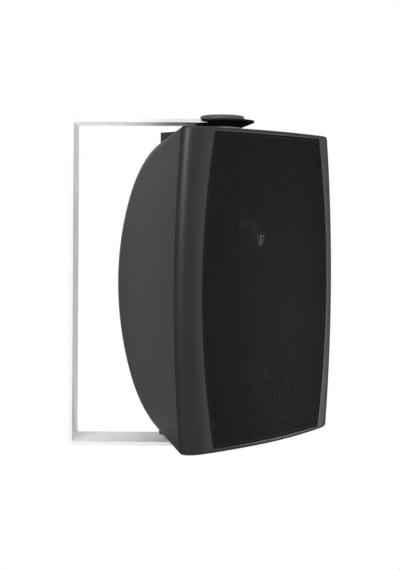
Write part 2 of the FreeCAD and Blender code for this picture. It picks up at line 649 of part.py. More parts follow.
def woofer_spider():
    """Corrugated cloth disc between the coil former and the basket's ledge."""
    ledge = SPIDER_LEDGE - BASKET_SHEET
    rim = BASKET_NECK_RADIUS - 2 * BASKET_SHEET
    waves = 8
    span = BASKET_POT_RADIUS - BASKET_SHEET - NECK_RADIUS
    face = ledge - SURROUND_SHEET
    near = [(rim, face)]
    for index in range(waves):
        swing = -2 * SURROUND_SHEET if index % 2 else 0
        near.append((rim - 2 * SURROUND_SHEET - (index + 0.5) * span / waves, face + swing))
    near.append((NECK_RADIUS, face))
    far = [(radius, depth + SURROUND_SHEET) for radius, depth in reversed(near)]
    return turned(near + far, WOOFER_HEIGHT)


def woofer_yoke():
    pole = COIL_RADIUS - COIL_GAP
    back = MAGNET_BACK + YOKE_PLATE
    return turned([(0, POT_BACK), (pole, POT_BACK), (pole, MAGNET_BACK), (YOKE_RADIUS, MAGNET_BACK),
                   (YOKE_RADIUS, back), (0, back)], WOOFER_HEIGHT)


def ring(inner, outer, start, end, height):
    return turned([(inner, start), (outer, start), (outer, end), (inner, end)], height)


# Tweeter
TWEETER_BACK = BAFFLE_DEPTH + TWEETER_SPIGOT
DOME_COIL_RADIUS = DOME_RADIUS - DOME_COIL
TWEETER_PLATE_FRONT = TWEETER_BACK + DOME_FLANGE_SHEET
TWEETER_MAGNET_FRONT = TWEETER_PLATE_FRONT + TWEETER_PLATE
TWEETER_MAGNET_BACK = TWEETER_MAGNET_FRONT + TWEETER_MAGNET
DOME_ROLL_INNER = DOME_RADIUS + FIT
DOME_ROLL_OUTER = DOME_ROLL_INNER + 2 * DOME_ROLL


def tweeter_faceplate():
    """Round plate with a shallow horn round the dome and a spigot in the baffle."""
    throat = DOME_ROLL_OUTER + HORN_CLEARANCE
    face = BAFFLE_DEPTH - FACEPLATE_THICKNESS
    plate = turned([(FACEPLATE_RADIUS, face), (FACEPLATE_RADIUS, BAFFLE_DEPTH), (TWEETER_SPIGOT_RADIUS, BAFFLE_DEPTH),
                    (TWEETER_SPIGOT_RADIUS, TWEETER_BACK), (throat, TWEETER_BACK), (throat, TWEETER_BACK - DOME_ROLL),
                    (HORN_RADIUS, face)], TWEETER_HEIGHT)
    for x, z in TWEETER_SCREWS:
        plate = plate.cut(rod(SCREW_RADIUS + SCREW_CLEARANCE, x, z, 0, FAR))
    return plate


def tweeter_surround():
    middle = DOME_ROLL_INNER + DOME_ROLL
    inside = DOME_ROLL - DOME_ROLL_SHEET
    rim = DOME_ROLL_OUTER + DOME_FLANGE
    return turned([(rim, TWEETER_BACK), (DOME_ROLL_OUTER, TWEETER_BACK), via(middle, TWEETER_BACK - DOME_ROLL),
                   (DOME_ROLL_INNER, TWEETER_BACK), (middle - inside, TWEETER_BACK),
                   via(middle, TWEETER_BACK - inside), (middle + inside, TWEETER_BACK),
                   (middle + inside, TWEETER_PLATE_FRONT), (rim, TWEETER_PLATE_FRONT)], TWEETER_HEIGHT)


def tweeter_yoke():
    pole = DOME_COIL_RADIUS - DOME_COIL_GAP
    back = TWEETER_MAGNET_BACK + TWEETER_YOKE_PLATE
    return turned([(0, TWEETER_PLATE_FRONT), (pole, TWEETER_PLATE_FRONT), (pole, TWEETER_MAGNET_BACK),
                   (TWEETER_PLATE_RADIUS, TWEETER_MAGNET_BACK), (TWEETER_PLATE_RADIUS, back), (0, back)],
                  TWEETER_HEIGHT)


# Terminal cup and crossover
CUP_INSIDE = CUP_FLOOR + CUP_WALL
TRUNNION_Y = CUP_INSIDE + TRUNNION_HEIGHT
LEVER_PLACES = [-LEVER_PITCH / 2, LEVER_PITCH / 2]
BOARD_BACK = CUP_FLOOR - BOARD_POST_LENGTH
BOARD_FRONT = BOARD_BACK - BOARD_THICKNESS
POST_PLACES = [(sign * (CUP_WIDTH / 2 - BOARD_POST_INSET), level * (CUP_HEIGHT / 2 - BOARD_POST_INSET))
               for sign in (-1, 1) for level in (-1, 1)]


def terminal_cup():
    """Recessed cup with a flange, ears for the two levers, wire holes and posts for the board."""
    flange_width = CUP_WIDTH + 2 * CUP_FLANGE
    flange_height = CUP_HEIGHT + 2 * CUP_FLANGE
    face = LANDING + CUP_FLANGE_THICKNESS
    cup = rounded_block(flange_width, flange_height, LANDING, face, CUP_CORNER)
    cup = cup.fuse(rounded_block(CUP_WIDTH, CUP_HEIGHT, CUP_FLOOR, LANDING, CUP_CORNER))
    cup = cup.cut(rounded_block(CUP_WIDTH - 2 * CUP_WALL, CUP_HEIGHT - 2 * CUP_WALL, CUP_INSIDE, FAR,
                                CUP_CORNER - CUP_WALL))
    ear_centre = LEVER_WIDTH / 2 + EAR_GAP + EAR_THICKNESS / 2
    ear_top = TRUNNION_Y + 2 * TRUNNION_RADIUS
    for x in LEVER_PLACES:
        for sign in (-1, 1):
            cup = cup.fuse(block(EAR_THICKNESS, 6 * TRUNNION_RADIUS, CUP_INSIDE, ear_top, x + sign * ear_centre,
                                 TRUNNION_Z))
        bore = Part.makeCylinder(TRUNNION_RADIUS + THREAD_CLEARANCE, LEVER_PITCH,
                                 Vector(x - LEVER_PITCH / 2, TRUNNION_Y, TRUNNION_Z), X_AXIS)
        ears = block(2 * ear_centre + EAR_THICKNESS, CUP_HEIGHT, CUP_INSIDE, LANDING, x)
        cup = cup.cut(bore.common(ears))
        cup = cup.cut(rod(WIRE_HOLE_RADIUS, x, TRUNNION_Z - LEVER_LENGTH, 0, LANDING))
    for x, z in POST_PLACES:
        cup = cup.fuse(rod(BOARD_POST_RADIUS, x, z, BOARD_BACK, CUP_FLOOR))
        cup = cup.cut(rod(SCREW_RADIUS + THREAD_CLEARANCE, x, z, BOARD_BACK, CUP_FLOOR))
    for x, z in CUP_SCREWS:
        cup = cup.cut(rod(SCREW_RADIUS + SCREW_CLEARANCE, x, z, LANDING, face))
    return cup.removeSplitter()


def terminal_lever(x):
    """Push lever: a thumb pad with a ridge at its end, turning on two trunnions."""
    half = LEVER_THICKNESS / 2
    head = 2 * TRUNNION_RADIUS
    length = LEVER_LENGTH - head
    profile = outline([(-half, 0), via(0, half), (half, 0), (half, head - length), (head, -length),
                       (half, -length - half), (-half, -length - half)], side)
    lever = profile.extrude(Vector(LEVER_WIDTH, 0, 0))
    lever.translate(Vector(-LEVER_WIDTH / 2, 0, 0))
    span = LEVER_WIDTH + 2 * (EAR_GAP + EAR_THICKNESS)
    lever = lever.fuse(Part.makeCylinder(TRUNNION_RADIUS, span, Vector(-span / 2, 0, 0), X_AXIS)).removeSplitter()
    lever.rotate(ORIGIN, X_AXIS, LEVER_LIFT)
    lever.translate(Vector(x, TRUNNION_Y, TRUNNION_Z))
    return lever


def terminal_contact(x):
    """Spring strip behind the cup's floor, with a hole for the bare wire."""
    strip = block(LEVER_WIDTH / 2, LEVER_LENGTH, CUP_FLOOR - CONTACT_SHEET, CUP_FLOOR, x,
                  TRUNNION_Z - LEVER_LENGTH + LEVER_LENGTH / 4)
    return strip.cut(rod(WIRE_HOLE_RADIUS - CONTACT_SHEET / 2, x, TRUNNION_Z - LEVER_LENGTH, 0, LANDING))


def crossover_board():
    board = block(BOARD_WIDTH, BOARD_HEIGHT, BOARD_FRONT, BOARD_BACK)
    for x, z in POST_PLACES:
        board = board.cut(rod(SCREW_RADIUS + SCREW_CLEARANCE, x, z, 0, FAR))
    return board


def crossover_inductor():
    """Air-cored coil standing on the board, left of the middle."""
    x = -INDUCTOR_RADIUS - COMPONENT_GAP / 2
    coil = rod(INDUCTOR_RADIUS, x, 0, BOARD_FRONT - INDUCTOR_LENGTH, BOARD_FRONT)
    return coil.cut(rod(INDUCTOR_BORE, x, 0, 0, FAR))


def crossover_capacitor(index):
    """A can lying upright along the board, right of the middle."""
    x = COMPONENT_GAP / 2 + CAPACITOR_RADIUS + index * (2 * CAPACITOR_RADIUS + COMPONENT_GAP)
    start = Vector(x, BOARD_FRONT - CAPACITOR_RADIUS - FIT, -CAPACITOR_LENGTH / 2)
    return Part.makeCylinder(CAPACITOR_RADIUS, CAPACITOR_LENGTH, start, Z_AXIS)


def crossover_resistor():
    """Square ceramic body near the board's upper edge."""
    return block(RESISTOR_LENGTH, RESISTOR_SIZE, BOARD_FRONT - RESISTOR_SIZE, BOARD_FRONT, 0,
                 BOARD_HEIGHT / 2 - RESISTOR_SIZE)


# Bracket, pads and knobs, about the pan axis
ARM_INNER = ARM_GAP / 2
ARM_OUTER = ARM_INNER + BRACKET_SHEET
SEAT = ARM_INNER - PAD_FLOOR - WASHER_THICKNESS
PAN_AXIS = Vector(0, -REACH, 0)


def on_axis(points, level):
    """A solid turned about the pan axis from (radius, height) points, above (+1) or below (-1)."""
    solid = outline(points, front).revolve(ORIGIN, Z_AXIS, 360)
    if level < 0:
        solid = solid.mirror(ORIGIN, Z_AXIS)
    solid.translate(PAN_AXIS)
    return solid


def arm_plan(spare, low, high):
    """The arm's outline with its round end, grown by a clearance, between two heights."""
    half = ARM_WIDTH / 2 + spare
    face = outline([(-half, 0), (-half, -REACH), via(0, -REACH - half), (half, -REACH), (half, 0)], plan)
    face.translate(Vector(0, 0, low))
    return face.extrude(Vector(0, 0, high - low))


def wall_bracket():
    """One folded strip: wall plate with two slots, and an arm with a round end at each side."""
    bend_outer = BRACKET_BEND + BRACKET_SHEET
    corner = math.sqrt(0.5)
    tip = -REACH - ARM_WIDTH
    inner_y = -BRACKET_SHEET
    inner_bend = (inner_y - BRACKET_BEND, ARM_INNER - BRACKET_BEND)
    outer_bend = (-bend_outer, ARM_OUTER - bend_outer)
    upper = [(tip, ARM_INNER), (inner_bend[0], ARM_INNER),
             via(inner_bend[0] + BRACKET_BEND * corner, inner_bend[1] + BRACKET_BEND * corner), (inner_y, inner_bend[1])]
    back = [(0, -outer_bend[1]), (0, outer_bend[1]),
            via(outer_bend[0] + bend_outer * corner, outer_bend[1] + bend_outer * corner), (outer_bend[0], ARM_OUTER),
            (tip, ARM_OUTER)]
    lower = [(inner_y, -inner_bend[1]),
             via(inner_bend[0] + BRACKET_BEND * corner, -inner_bend[1] - BRACKET_BEND * corner),
             (inner_bend[0], -ARM_INNER), (tip, -ARM_INNER), (tip, -ARM_OUTER), (outer_bend[0], -ARM_OUTER),
             via(outer_bend[0] + bend_outer * corner, -outer_bend[1] - bend_outer * corner)]
    strip = outline(upper + lower + back, side).extrude(Vector(ARM_WIDTH, 0, 0))
    strip.translate(Vector(-ARM_WIDTH / 2, 0, 0))
    strip = strip.common(arm_plan(0, -ARM_OUTER, ARM_OUTER))
    strip = strip.cut(Part.makeCylinder(STUD_RADIUS + STUD_CLEARANCE, 2 * FAR, PAN_AXIS - Z_AXIS * FAR, Z_AXIS))
    for level in (-1, 1):
        strip = strip.cut(wall_slot(level * SLOT_SPACING / 2))
    return strip


def wall_slot(height):
    """Cutter for an upright slot with round ends."""
    half = SLOT_WIDTH / 2
    straight = SLOT_LENGTH / 2 - half
    face = outline([(-half, -straight), via(0, -straight - half), (half, -straight), (half, straight),
                    via(0, straight + half), (-half, straight)], front)
    face.translate(Vector(0, -2 * BRACKET_SHEET, height))
    return face.extrude(Y_AXIS * 3 * BRACKET_SHEET)


def arm_pad(level):
    """Black dish that cups the round end of an arm and opens towards the wall."""
    bore = STUD_RADIUS + STUD_CLEARANCE
    foot = ARM_INNER - PAD_FLOOR
    pad = on_axis([(bore, foot), (PAD_FOOT_RADIUS, foot), (PAD_RIM_RADIUS, ARM_INNER + BRACKET_SHEET / 2),
                   (PAD_RIM_RADIUS, ARM_OUTER), (bore, ARM_OUTER)], level)
    low, high = (ARM_INNER, FAR) if level > 0 else (-FAR, -ARM_INNER)
    return pad.cut(arm_plan(PAD_CLEARANCE, low, high))


def clamp_knob(level):
    """Round hand knob with a rolled rim, a slightly domed top and a seat for its stud."""
    top = ARM_OUTER + KNOB_HEIGHT
    rim_top = top - KNOB_DOME
    shoulder = rim_top - KNOB_CROWN
    crown = KNOB_RADIUS - KNOB_CROWN
    corner = KNOB_CROWN * math.sqrt(0.5)
    sphere = (crown ** 2 + KNOB_DOME ** 2) / (2 * KNOB_DOME)
    halfway = top - sphere + math.sqrt(sphere ** 2 - (crown / 2) ** 2)
    seat = STUD_RADIUS + FIT
    return on_axis([(seat, ARM_OUTER), (KNOB_RADIUS, ARM_OUTER), (KNOB_RADIUS, shoulder),
                    via(crown + corner, shoulder + corner), (crown, rim_top), via(crown / 2, halfway), (0, top),
                    (0, ARM_OUTER + STUD_SEAT), (seat, ARM_OUTER + STUD_SEAT)], level)


def knob_stud(level):
    end = SEAT - INSERT_LENGTH + WASHER_THICKNESS / 2
    return on_axis([(0, end), (STUD_RADIUS, end), (STUD_RADIUS, ARM_OUTER + STUD_SEAT), (0, ARM_OUTER + STUD_SEAT)],
                   level)


def pivot_washer(level):
    bore = STUD_RADIUS + STUD_CLEARANCE
    return on_axis([(bore, SEAT), (WASHER_RADIUS, SEAT), (WASHER_RADIUS, SEAT + WASHER_THICKNESS),
                    (bore, SEAT + WASHER_THICKNESS)], level)


def pivot_insert(level):
    bore = STUD_RADIUS + THREAD_CLEARANCE
    return on_axis([(bore, SEAT - INSERT_LENGTH), (INSERT_RADIUS, SEAT - INSERT_LENGTH), (INSERT_RADIUS, SEAT),
                    (bore, SEAT)], level)


# Every piece, one file each
os.makedirs("parts", exist_ok=True)

save("wall_bracket", wall_bracket())
save("upper_arm_pad", arm_pad(1))
save("lower_arm_pad", arm_pad(-1))
save("upper_knob", clamp_knob(1))
save("lower_knob", clamp_knob(-1))
save("upper_knob_stud", knob_stud(1))
save("lower_knob_stud", knob_stud(-1))
save("pivot_washers", pivot_washer(1), pivot_washer(-1))
save("pivot_inserts", pivot_insert(1), pivot_insert(-1))

save_cabinet("rear_shell", rear_shell())
save_cabinet("front_baffle", front_baffle())
save_cabinet("grille", grille())
save_cabinet("baffle_screws", *[screw(x, z, BAFFLE_DEPTH, SCREW_LENGTH) for x, z in SCREW_PLACES])

save_cabinet("woofer_basket", woofer_basket())
save_cabinet("woofer_surround", woofer_surround())
save_cabinet("woofer_gasket", woofer_gasket())
save_cabinet("woofer_spider", woofer_spider())
save_cabinet("woofer_cone", woofer_cone())
save_cabinet("woofer_dust_cap", woofer_dust_cap())
save_cabinet("woofer_voice_coil", woofer_voice_coil())
save_cabinet("woofer_top_plate", ring(COIL_BORE, TOP_PLATE_RADIUS, POT_BACK, MAGNET_FRONT, WOOFER_HEIGHT))
save_cabinet("woofer_magnet", ring(MAGNET_BORE, MAGNET_RADIUS, MAGNET_FRONT, MAGNET_BACK, WOOFER_HEIGHT))
save_cabinet("woofer_yoke", woofer_yoke())
save_cabinet("woofer_screws", *[screw(x, z, FLANGE_FACE, SHORT_SCREW_LENGTH) for x, z in WOOFER_SCREWS])

save_cabinet("tweeter_faceplate", tweeter_faceplate())
save_cabinet("tweeter_surround", tweeter_surround())
save_cabinet("tweeter_dome", turned(cap_points(DOME_RADIUS, TWEETER_BACK, DOME_RISE, DOME_SHEET), TWEETER_HEIGHT))
save_cabinet("tweeter_voice_coil", ring(DOME_COIL_RADIUS, DOME_RADIUS, TWEETER_BACK, TWEETER_BACK + DOME_COIL_LENGTH,
                                        TWEETER_HEIGHT))
save_cabinet("tweeter_top_plate", ring(DOME_RADIUS + DOME_COIL_GAP, TWEETER_PLATE_RADIUS, TWEETER_PLATE_FRONT,
                                       TWEETER_MAGNET_FRONT, TWEETER_HEIGHT))
save_cabinet("tweeter_magnet", ring(TWEETER_MAGNET_BORE, TWEETER_PLATE_RADIUS, TWEETER_MAGNET_FRONT,
                                    TWEETER_MAGNET_BACK, TWEETER_HEIGHT))
save_cabinet("tweeter_yoke", tweeter_yoke())
save_cabinet("tweeter_screws", *[screw(x, z, BAFFLE_DEPTH - FACEPLATE_THICKNESS, SHORT_SCREW_LENGTH)
                                 for x, z in TWEETER_SCREWS])

save_cabinet("terminal_cup", terminal_cup())
save_cabinet("terminal_cup_screws", *[screw(x, z, LANDING + CUP_FLANGE_THICKNESS, SHORT_SCREW_LENGTH, -1)
                                      for x, z in CUP_SCREWS])
save_cabinet("negative_terminal_lever", terminal_lever(LEVER_PLACES[0]))
save_cabinet("positive_terminal_lever", terminal_lever(LEVER_PLACES[1]))
save_cabinet("terminal_contacts", *[terminal_contact(x) for x in LEVER_PLACES])
save_cabinet("crossover_board", crossover_board())
save_cabinet("board_screws", *[screw(x, z, BOARD_FRONT, SHORT_SCREW_LENGTH) for x, z in POST_PLACES])
save_cabinet("crossover_inductor", crossover_inductor())
save_cabinet("crossover_resistor", crossover_resistor())
save_cabinet("crossover_capacitors", crossover_capacitor(0), crossover_capacitor(1))
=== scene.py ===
# %% [markdown]
# # A wall loudspeaker in its folded bracket
# The imported model gives every rigid piece at its real size, in metres, in one frame: the wall is the
# plane y = 0, the bracket's arms reach along -Y and +Z is up. This lesson gives those pieces their
# finishes, makes the perforated grille as a mesh, and sets the camera and the light of a plain white
# studio.

# %% Load the model
import json
import math

import bpy
import numpy as np
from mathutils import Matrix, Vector


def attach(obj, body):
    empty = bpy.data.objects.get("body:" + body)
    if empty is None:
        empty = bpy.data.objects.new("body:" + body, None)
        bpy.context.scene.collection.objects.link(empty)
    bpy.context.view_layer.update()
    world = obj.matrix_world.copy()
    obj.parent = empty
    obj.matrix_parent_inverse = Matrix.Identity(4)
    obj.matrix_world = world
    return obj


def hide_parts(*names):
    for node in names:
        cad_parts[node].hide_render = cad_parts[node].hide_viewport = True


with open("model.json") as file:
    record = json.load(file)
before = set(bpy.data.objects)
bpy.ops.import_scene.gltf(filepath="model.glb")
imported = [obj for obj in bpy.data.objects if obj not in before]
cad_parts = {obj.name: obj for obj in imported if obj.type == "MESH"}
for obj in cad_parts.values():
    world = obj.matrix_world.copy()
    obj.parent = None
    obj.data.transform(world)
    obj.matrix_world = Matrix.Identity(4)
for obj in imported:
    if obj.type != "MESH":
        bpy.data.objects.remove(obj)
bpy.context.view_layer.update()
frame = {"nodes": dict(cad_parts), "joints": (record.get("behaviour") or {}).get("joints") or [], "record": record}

# %% [markdown]
# ## The cabinet's own frame
# The cabinet rests turned away from straight ahead, so its front isn't square to any world axis. It is
# easier to work out a piece in the cabinet's own frame: x across the front, depth from the front apex
# backwards, z from mid height. The joints of the model say where that frame is: the pan joint gives the
# upright axis, and the woofer's stroke gives the direction that the front faces.

# %% From the cabinet's frame to the world
MM = 0.001                  # lengths on the cabinet are written in millimetres, the world is in metres
UP = np.array([0.0, 0.0, 1.0])
PIVOT_DEPTH = 59.5          # front apex to the pan axis
BOSS_RISE = 3.0             # the upper boss lowers the cabinet's middle by half of this
joints = {joint["name"]: joint for joint in frame["joints"]}
pan_axis = np.array(joints["pan"]["pos_m"])
front_axis = np.array(joints["woofer_stroke"]["axis"])
across_axis = np.cross(UP, front_axis)


def from_cabinet(points):
    """World metres of an array of (x, depth, z) in the cabinet's frame.

    A point is the pan axis, plus x across the front, plus its distance before the pan axis along the
    direction that the front faces, plus z up from mid height.
    """
    x, depth, z = np.moveaxis(points, -1, 0)[..., None]
    flat = pan_axis + MM * (x * across_axis + (PIVOT_DEPTH - depth) * front_axis)
    return flat + MM * (z - BOSS_RISE / 2) * UP


print("front faces", np.round(front_axis, 3), "across", np.round(across_axis, 3))

# %% [markdown]
# ## Putting an array into a mesh
# A surface that numpy has worked out is an array of points and a list of faces. from_pydata takes both.
# The piece's object stays at the origin with its place in its mesh, as the model's own nodes do, so that
# a pattern on Object coordinates lies the same on both.


# %% Helpers for new pieces
def new_piece(name, points, faces, body, smooth=True):
    """A mesh object from an array of points and a list of faces, riding on a body of the model."""
    mesh = bpy.data.meshes.new(name)
    mesh.from_pydata(points.reshape(-1, 3).tolist(), [], faces)
    mesh.update()
    if smooth:
        mesh.shade_smooth()
    else:
        mesh.shade_flat()
    piece = bpy.data.objects.new(name, mesh)
    bpy.context.scene.collection.objects.link(piece)
    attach(piece, body)
    print(name, "faces:", len(mesh.polygons))
    return piece


def band_faces(rows, columns):
    """Quads of a closed band: each joins a point, the next one in its row and the two in the row after."""
    index = np.arange(rows * columns).reshape(rows, columns)
    index = np.concatenate([index, index[:, :1]], axis=1)
    quads = np.stack([index[:-1, :-1], index[:-1, 1:], index[1:, 1:], index[1:, :-1]], axis=-1)
    return quads.reshape(-1, 4).tolist()


# %% [markdown]
# ## The bowed grille
# The real grille is thin steel, punched with staggered holes and then pressed into a shallow bow. One way
# is to bend a flat perforated sheet with modifiers. Here each hole is a cell of a honeycomb: a hexagon
# with a smaller hexagon cut in it. All cells are worked out at once as one array, cells at the edge are
# drawn in to the outline, and the depth of the bow is then a formula of x and z.

# %% The grille's outline and bow
HALF_HEIGHT = 125.0         # of the cabinet
HALF_WIDTH = 92.0           # of the cabinet at mid height
WAIST_SAG = 7.0             # each side of the cabinet draws in by this much at the top and bottom
FRONT_RADIUS = 400.0        # plan radius of the bowed front
GRILLE_HALF_WIDTH = 75.0    # of the opening for the grille at mid height
GRILLE_SAG = 13.0           # the opening's sides draw in by this much at the top and bottom
GRILLE_MARGIN = 3.5         # frame left above and below the grille
GRILLE_CORNER = 3.0         # radius of the opening's corners
SMALLEST_CORNER = 0.5       # the radius that is left where the outline is drawn far in
GRILLE_RECESS = 0.4         # the grille's face lies this far below the frame's edge
GRILLE_CLEARANCE = 0.3      # between the grille and its opening, all round
BAFFLE_DEPTH = 14.0         # front apex to the baffle's face
EDGE_BEND = 0.8             # outside radius of the turned-back edge

waist_radius = (HALF_HEIGHT ** 2 + WAIST_SAG ** 2) / (2 * WAIST_SAG)
grille_arc = (HALF_HEIGHT ** 2 + GRILLE_SAG ** 2) / (2 * GRILLE_SAG)
grille_half_height = HALF_HEIGHT - GRILLE_MARGIN - GRILLE_CLEARANCE
swing_centre = HALF_WIDTH - waist_radius


def top_and_corner(inset):
    """Half height and corner radius of the grille's outline, drawn in by an inset."""
    return grille_half_height - inset, max(GRILLE_CORNER - GRILLE_CLEARANCE - inset, SMALLEST_CORNER)


def grille_edge(z, inset):
    """Half width of the grille at a height: an arc that bellies at mid height, less the round corners."""
    top, corner = top_and_corner(inset)
    level = np.minimum(np.abs(z), top)
    widest = GRILLE_HALF_WIDTH - GRILLE_CLEARANCE - inset
    belly = widest - grille_arc + np.sqrt(grille_arc ** 2 - level ** 2)
    into_corner = np.clip(level - (top - corner), 0, corner)
    return belly - (corner - np.sqrt(corner ** 2 - into_corner ** 2))


def grille_depth(x, z):
    """Depth of the bowed face: a circle in plan, swung about the far centre of the cabinet's side."""
    swung = swing_centre + np.hypot(np.abs(x) - swing_centre, z)
    return GRILLE_RECESS + FRONT_RADIUS - np.sqrt(FRONT_RADIUS ** 2 - swung ** 2)


print("grille half width at mid height:", round(float(grille_edge(np.array(0.0), 0)), 2), "mm")

# %% The punched field
HOLE_PITCH = 1.9
HOLE_RADIUS = 0.73
HOLE_WALL = 0.5             # straight part of each punched wall
HOLE_ROOM = 1.3 * HOLE_RADIUS   # a hole is punched where its centre is this far inside the outline
FIELD_INSET = EDGE_BEND     # the field ends where the edge starts to bend
CORNERS = 6                 # of a cell and of its hole
SMALLEST_CELL = 0.02        # square millimetres; what the outline leaves of a cell is dropped below this
SHARED_DIGITS = 4           # points that agree to this many decimals are one point


def cell_centres():
    """Centres on staggered columns that cover the whole outline."""
    column_step = HOLE_PITCH * math.sqrt(3) / 2
    reach = math.ceil(GRILLE_HALF_WIDTH / column_step)
    climb = math.ceil(HALF_HEIGHT / HOLE_PITCH)
    column, row = np.meshgrid(np.arange(-reach, reach + 1), np.arange(-climb, climb + 1))
    return (column * column_step).ravel(), ((row + 0.5 * (column % 2)) * HOLE_PITCH).ravel()


def punched_field(centre_x, centre_z):
    """Honeycomb of cells, each with an outer hexagon and, where it fits, a hole with its wall.

    A cell's corner k is its centre plus a radius at k times 60 degrees. Corners outside the outline are
    drawn in to it.
    """
    ring = np.arange(CORNERS)
    after = np.roll(ring, -1)
    spokes = np.radians(360 / CORNERS * ring)
    cell_radius = HOLE_PITCH / math.sqrt(3)
    top = grille_half_height - FIELD_INSET
    outer_z = np.clip(centre_z[:, None] + cell_radius * np.sin(spokes), -top, top)
    limit = grille_edge(outer_z, FIELD_INSET)
    outer_x = np.clip(centre_x[:, None] + cell_radius * np.cos(spokes), -limit, limit)
    area = 0.5 * np.abs(np.sum(outer_x * outer_z[:, after] - outer_x[:, after] * outer_z, axis=1))
    room = grille_edge(centre_z, FIELD_INSET) - np.abs(centre_x)
    punched = (room > HOLE_ROOM) & (np.abs(centre_z) < top - HOLE_ROOM)
    plain = ~punched & (area > SMALLEST_CELL)

    hole_x = centre_x[punched, None] + HOLE_RADIUS * np.cos(spokes)
    hole_z = centre_z[punched, None] + HOLE_RADIUS * np.sin(spokes)
    hole_depth = grille_depth(hole_x, hole_z)
    rim = np.stack([outer_x, grille_depth(outer_x, outer_z), outer_z], -1)
    lip = np.stack([hole_x, hole_depth, hole_z], -1)
    foot = np.stack([hole_x, hole_depth + HOLE_WALL, hole_z], -1)
    points = np.concatenate([rim[punched], lip, foot, rim[plain]]).reshape(-1, 3)

    rim_first = CORNERS * np.arange(len(lip))[:, None]
    lip_first = rim_first + CORNERS * len(lip)
    foot_first = lip_first + CORNERS * len(lip)
    face_quads = np.stack([lip_first + ring, lip_first + after, rim_first + after, rim_first + ring], -1)
    wall_quads = np.stack([foot_first + ring, foot_first + after, lip_first + after, lip_first + ring], -1)
    quads = np.concatenate([face_quads, wall_quads]).reshape(-1, 4)
    plain_cells = np.arange(3 * CORNERS * len(lip), len(points)).reshape(-1, CORNERS)[:, ::-1]
    shared, owner = np.unique(np.round(points, SHARED_DIGITS), axis=0, return_inverse=True)
    return shared, owner.ravel()[quads].tolist() + owner.ravel()[plain_cells].tolist()


cell_x, cell_z = cell_centres()
grille_pieces = []
for name, half in (("punched_sheet_upper", cell_z > 0), ("punched_sheet_lower", cell_z <= 0)):
    field_points, field_faces = punched_field(cell_x[half], cell_z[half])
    grille_pieces.append(new_piece(name, from_cabinet(field_points), field_faces, "cabinet", smooth=False))

# %% [markdown]
# ## The grille's edge
# A pressed grille has its edge turned back, so that it is stiff and no cut edge shows. A bevel could round
# it. Here the outline is drawn in by the steps of a quarter circle, with one row of points for each step
# and a last row on the baffle, and the rows are joined into a closed band.

# %% The turned-back edge
SIDE_STEPS = 260            # points along each side
END_STEPS = 58              # points along the top, and along the bottom
CORNER_STEPS = 8            # points round each corner
BEND_STEPS = 5              # rows round the bend
EDGE_OVERLAP = 0.5          # the band starts this far under the punched field
EDGE_TUCK = 0.02            # and this far behind it


def edge_outline(inset):
    """Points once round the grille: up the right side, over the top, down the left and along the bottom."""
    top, corner = top_and_corner(inset)
    turn = np.linspace(0, math.pi / 2, CORNER_STEPS + 1)[1:]
    straight = np.linspace(-(top - corner), top - corner, SIDE_STEPS)
    climb = top - corner + corner * np.sin(turn)
    height = np.concatenate([-climb[::-1], straight, climb])
    half = grille_edge(height, inset)
    across = np.linspace(half[-1], -half[-1], END_STEPS + 2)[1:-1]
    x = np.concatenate([half, across, -half[::-1], -across])
    z = np.concatenate([height, np.full(END_STEPS, top), height[::-1], np.full(END_STEPS, -top)])
    return x, z


def turned_edge():
    """Rows of points round the outline: one under the field, then the bend, then one on the baffle.

    In the bend, the inset is the radius times one less the sine of the angle, and the drop behind the
    face is the radius times one less the cosine.
    """
    angle = np.linspace(0, math.pi / 2, BEND_STEPS)
    insets = [FIELD_INSET + EDGE_OVERLAP, *(EDGE_BEND * (1 - np.sin(angle)))]
    drops = [EDGE_TUCK, *(EDGE_BEND * (1 - np.cos(angle)))]
    rows = []
    for inset, drop in zip(insets, drops):
        x, z = edge_outline(float(inset))
        rows.append(np.stack([x, grille_depth(x, z) + drop, z], -1))
    x, z = edge_outline(0.0)
    rows.append(np.stack([x, np.full_like(x, BAFFLE_DEPTH), z], -1))
    return np.stack(rows)


edge_points = turned_edge()
edge_faces = band_faces(edge_points.shape[0], edge_points.shape[1])
grille_pieces.append(new_piece("grille_turned_edge", from_cabinet(edge_points), edge_faces, "cabinet"))
for piece in grille_pieces:
    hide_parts("grille")

# %% [markdown]
# ## Finishes: shared effects
# A moulded or painted surface is never one flat colour. Its tone drifts slowly, its gloss varies, and a
# fine texture breaks up the light. Drawn metal has fine lines instead, and cloth has threads that cross.
# Because many finishes need the same effect, each effect is a node group with named sockets, placed in a
# material with that finish's own values.


# %% Nodes that the effects are made of
def math_node(tree, operation, first, second):
    """A Math node; each operand is a number or a socket to link."""
    node = tree.nodes.new("ShaderNodeMath")
    node.operation = operation
    for socket, value in zip(node.inputs, (first, second)):
        if isinstance(value, (int, float)):
            socket.default_value = value
        else:
            tree.links.new(value, socket)
    return node.outputs[0]


def noise_node(tree, vector, scale, detail):
    """A noise texture's value; the scale is a number or a socket."""
    node = tree.nodes.new("ShaderNodeTexNoise")
    node.inputs["Detail"].default_value = detail
    tree.links.new(vector, node.inputs["Vector"])
    if isinstance(scale, (int, float)):
        node.inputs["Scale"].default_value = scale
    else:
        tree.links.new(scale, node.inputs["Scale"])
    return node.outputs[0]


def tinted(tree, colour, factor):
    """A colour made lighter or darker by a factor."""
    node = tree.nodes.new("ShaderNodeVectorMath")
    node.operation = "SCALE"
    tree.links.new(colour, node.inputs[0])
    tree.links.new(factor, node.inputs["Scale"])
    return node.outputs[0]


